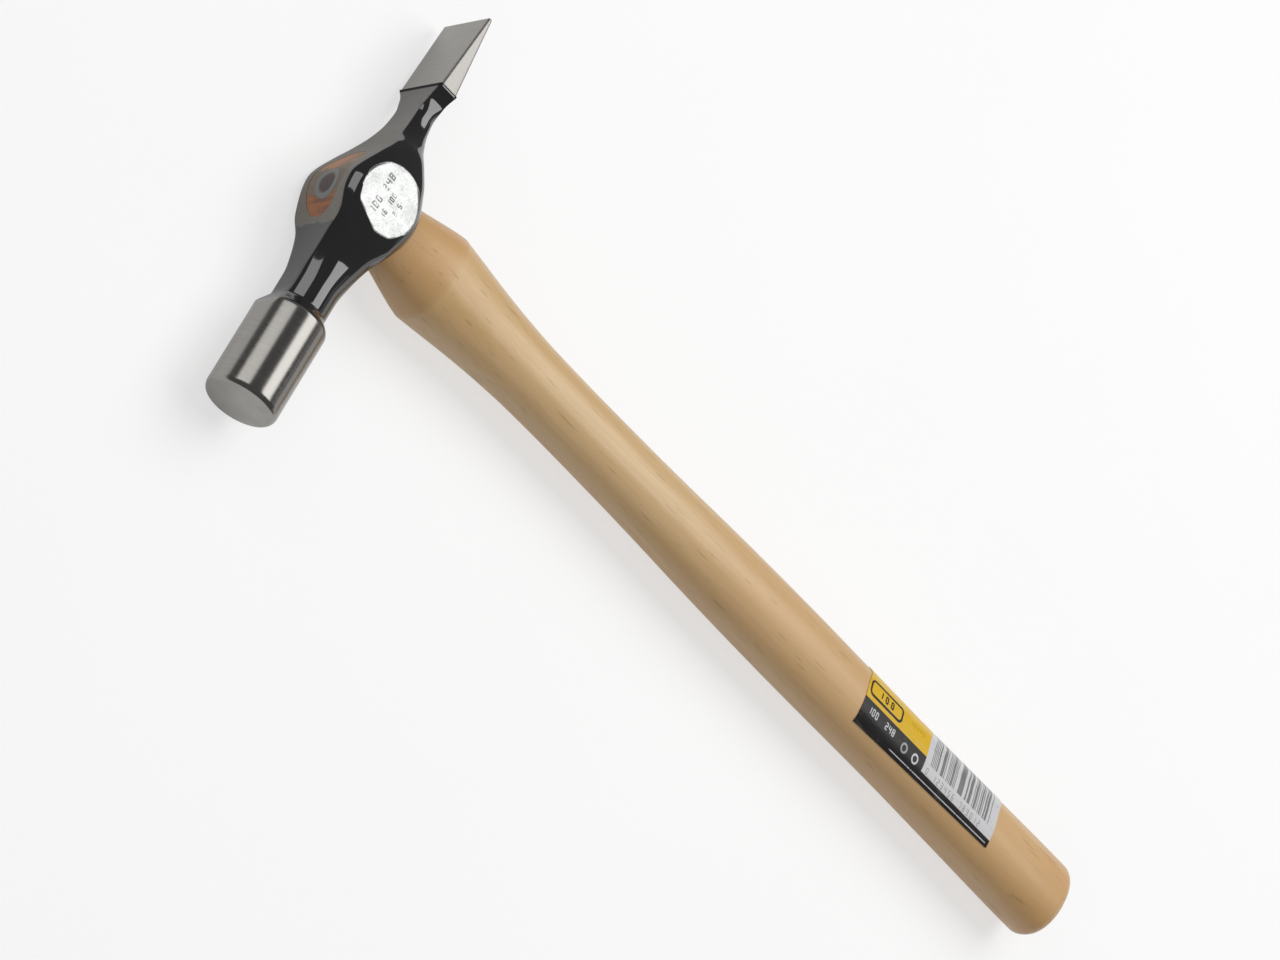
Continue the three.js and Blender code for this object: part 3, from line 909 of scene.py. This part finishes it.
def floor_material():
    """A pale sweep that glows evenly where the camera sees it, painted light that lifts its shadows. The
    hammer mirrors it darker and is lit by its dimmer glow, and it is darkest beyond the crown, a painted dark
    zone in the reflections.
    """
    g = Graph("pale_floor")
    mottle = g.noise(0.01, (1, 1, 1), 4)
    seen = g.node("ShaderNodeLightPath").outputs["Is Camera Ray"]
    # Painted shade in the reflections: for every ray but the camera's the floor is dim, and darkest beyond
    # the crown.
    reflection_glow_near_head = g.step(g.x, -95.0, -50.0)
    painted_reflection_glow = g.mix(reflection_glow_near_head, (0.08, 0.08, 0.08), (0.48, 0.48, 0.48))
    g.set("Base Color", g.mix(seen, painted_reflection_glow, g.mix(mottle, (0.37, 0.37, 0.37), (0.40, 0.40, 0.40))))
    # The floor glows though it is no lamp: painted light that lifts its shadows for the camera and lights the
    # hammer from below.
    g.set("Emission Color", g.mix(seen, painted_reflection_glow, (1.0, 1.0, 1.0)))
    g.set("Emission Strength", 0.62)
    g.set("Roughness", g.remap(mottle, 0.3, 0.7, 0.75, 0.9))
    g.set("Specular IOR Level", 0.1)
    return g.material


# ---------------------------------------------------------------- scene: camera, light and floor

CAMERA_FROM = Vector((-0.46419, -0.51662, 0.87114))
CAMERA_AIM = Vector((0.09016, 0.00196, 0.0094))
CAMERA_ROLL = 84.43
CAMERA_LENS = 154.93


def add_camera():
    data = bpy.data.cameras.new("camera")
    data.lens = CAMERA_LENS
    data.sensor_width = 36
    data.clip_start, data.clip_end = 0.01, 30
    camera = bpy.data.objects.new("camera", data)
    level = (CAMERA_AIM - CAMERA_FROM).to_track_quat("-Z", "Y").to_matrix().to_4x4()
    roll = Matrix.Rotation(math.radians(CAMERA_ROLL), 4, "Z")
    camera.matrix_world = Matrix.Translation(CAMERA_FROM) @ level @ roll
    bpy.context.scene.collection.objects.link(camera)
    bpy.context.scene.camera = camera


def add_softbox(name, direction, across, along, radiance, distance=1.1, glossy=True):
    """A rectangular light that faces the head. along is its size in the plane of the head's axis."""
    data = bpy.data.lights.new(name, "AREA")
    data.shape = "RECTANGLE"
    data.size, data.size_y = across, along
    data.energy = radiance * math.pi * across * along
    light = bpy.data.objects.new(name, data)
    way = Vector(direction).normalized()
    up = (Vector((0, 1, 0)) - way * way.y).normalized()
    turned = Matrix((up.cross(way), up, way)).transposed().to_4x4()
    light.matrix_world = Matrix.Translation(way * distance) @ turned
    light.visible_camera = False
    light.visible_glossy = glossy
    bpy.context.scene.collection.objects.link(light)


def around_head_axis(degrees, toward_peen):
    """A direction at that angle from +X towards +Z, leaning towards +Y by toward_peen degrees."""
    a, lean_angle = math.radians(degrees), math.radians(toward_peen)
    return (math.cos(a) * math.cos(lean_angle), math.sin(lean_angle), math.sin(a) * math.cos(lean_angle))


def add_lights():
    """The boxes that the steel mirrors, and two soft fills that it doesn't."""
    add_softbox("bright_box", around_head_axis(64, 25), 0.60, 0.80, 1.85)
    add_softbox("wide_box", around_head_axis(143, 17), 0.74, 0.51, 1.15)
    add_softbox("low_box", around_head_axis(8, 12), 0.48, 1.00, 0.45)
    add_softbox("edge_strip", around_head_axis(30, 25), 0.05, 0.60, 0.4)
    add_softbox("fill_box", (0.2, 0.5, 0.85), 1.6, 1.6, 1.9, distance=1.6, glossy=False)
    add_softbox("side_box", (-0.4, -0.5, 0.8), 1.4, 1.4, 0.7, distance=1.6, glossy=False)


def add_world():
    """A dim studio for light and reflections, and a pale backdrop where the camera sees past the floor."""
    world = bpy.data.worlds.new("studio")
    world.use_nodes = True
    tree = world.node_tree
    mix = tree.nodes.new("ShaderNodeMix")
    mix.data_type = "RGBA"
    mix.inputs[6].default_value = (0.11, 0.11, 0.11, 1)
    mix.inputs[7].default_value = (0.95, 0.95, 0.95, 1)
    tree.links.new(tree.nodes.new("ShaderNodeLightPath").outputs["Is Camera Ray"], mix.inputs["Factor"])
    tree.links.new(mix.outputs[2], tree.nodes["Background"].inputs["Color"])
    bpy.context.scene.world = world


def add_floor():
    half, steps = 1.5, 40
    grid = bmesh.new()
    bmesh.ops.create_grid(grid, x_segments=steps, y_segments=steps, size=half)
    mesh = bpy.data.meshes.new("floor")
    grid.to_mesh(mesh)
    grid.free()
    floor = bpy.data.objects.new("floor", mesh)
    mesh.materials.append(floor_material())
    bpy.context.scene.collection.objects.link(floor)


# ---------------------------------------------------------------- assembly

bpy.context.scene.view_settings.view_transform = "Standard"
add_camera()
add_lights()
add_world()
add_floor()

add_piece(build_head(), "head", head_material())

wood = handle_body()
combine(wood, ring_body("ring_seat", RING_SEAT_GAP, 1.0, RING_DEPTH + 0.1), "DIFFERENCE")
add_piece(wood, "handle", wood_material())

add_piece(ring_body("ring_wedge_steel", 0, 0, RING_DEPTH), "ring_wedge", wedge_material())
add_piece(label_body(), "label", label_material())
